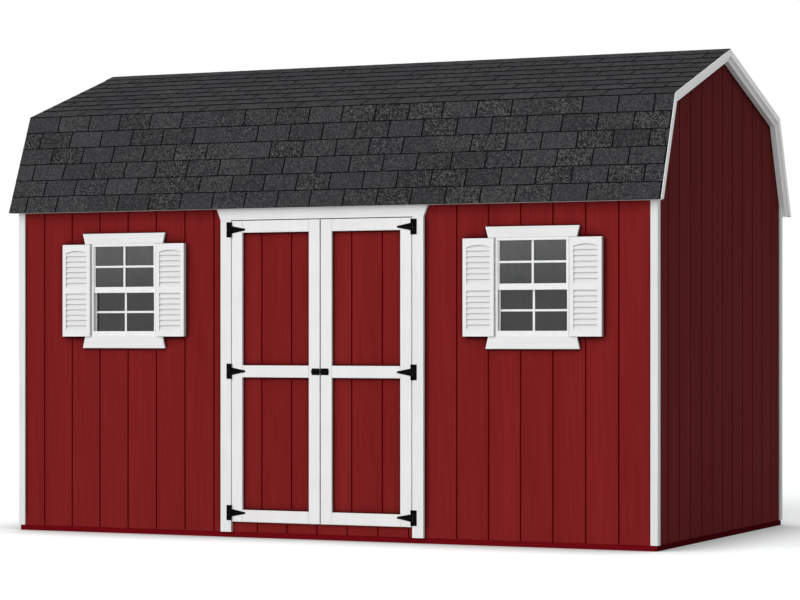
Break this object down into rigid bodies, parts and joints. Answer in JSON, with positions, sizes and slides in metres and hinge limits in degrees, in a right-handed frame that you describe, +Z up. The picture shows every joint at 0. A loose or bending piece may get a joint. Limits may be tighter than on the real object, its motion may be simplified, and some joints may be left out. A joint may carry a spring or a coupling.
{
  "type": "gambrel barn-style garden shed",
  "caption": "Red barn-style shed on a timber frame: gambrel shingle roof, grooved siding, white trim, hinged double door, shuttered sash windows, hollow with a floor.",
  "frame": {"origin": "ground level, middle of the footprint", "axes": "+X along the front to the right, +Y from the door front to the back, +Z up"},
  "size_m": [4.3732, 2.5816, 2.9942],
  "materials": {
    "red_siding": "barn red satin paint over textured plywood",
    "white_trim": "white satin paint",
    "framing_lumber": "bare sawn softwood",
    "sheathing": "bare sheet wood",
    "asphalt_shingle": "mineral granules, matte",
    "window_vinyl": "white satin",
    "shutter_plastic": "white moulded",
    "window_glass": "clear",
    "black_hardware": "black powder coat"
  },
  "bodies": {
    "building": {"base_skirt": "red_siding", "front_siding_left": "red_siding", "front_siding_right": "red_siding", "door_infill_panels": "red_siding", "back_siding": "red_siding", "gable_siding": "red_siding", "eave_soffits": "white_trim", "rake_boards": "white_trim", "rake_strips": "white_trim", "front_corner_boards": "white_trim", "gable_corner_boards": "white_trim", "door_casings": "white_trim", "door_head": "white_trim", "window_boards": "white_trim", "floor_rims": "framing_lumber", "floor_joists": "framing_lumber", "long_wall_plates": "framing_lumber", "long_wall_studs": "framing_lumber", "front_wall_headers": "framing_lumber", "gable_wall_plates": "framing_lumber", "gable_wall_studs": "framing_lumber", "lower_rafters": "framing_lumber", "upper_rafters": "framing_lumber", "floor_sheet": "sheathing", "rafter_gussets": "sheathing", "lower_roof_sheets": "sheathing", "upper_roof_sheets": "sheathing", "lower_shingles": "asphalt_shingle", "upper_shingles": "asphalt_shingle", "ridge_cap": "asphalt_shingle", "window_frames": "window_vinyl", "window_sashes": "window_vinyl", "shutters": "shutter_plastic", "window_panes": "window_glass", "hinge_plates": "black_hardware"},
    "left_door": {"left_door_panel": "red_siding", "left_door_boards": "white_trim", "left_door_ledges": "framing_lumber", "left_hinge_straps": "black_hardware", "left_latch": "black_hardware"},
    "right_door": {"right_door_panel": "red_siding", "right_door_boards": "white_trim", "right_door_ledges": "framing_lumber", "right_hinge_straps": "black_hardware", "right_latch": "black_hardware"}
  },
  "joints": [
    {"name": "left_door_hinge", "type": "hinge", "parent": "building", "child": "left_door", "pos_m": [-0.6071, -1.2502, 0], "axis": [0, 0, -1], "range_deg": [0, 170]},
    {"name": "right_door_hinge", "type": "hinge", "parent": "building", "child": "right_door", "pos_m": [0.6071, -1.2502, 0], "axis": [0, 0, 1], "range_deg": [0, 170]}
  ]
}
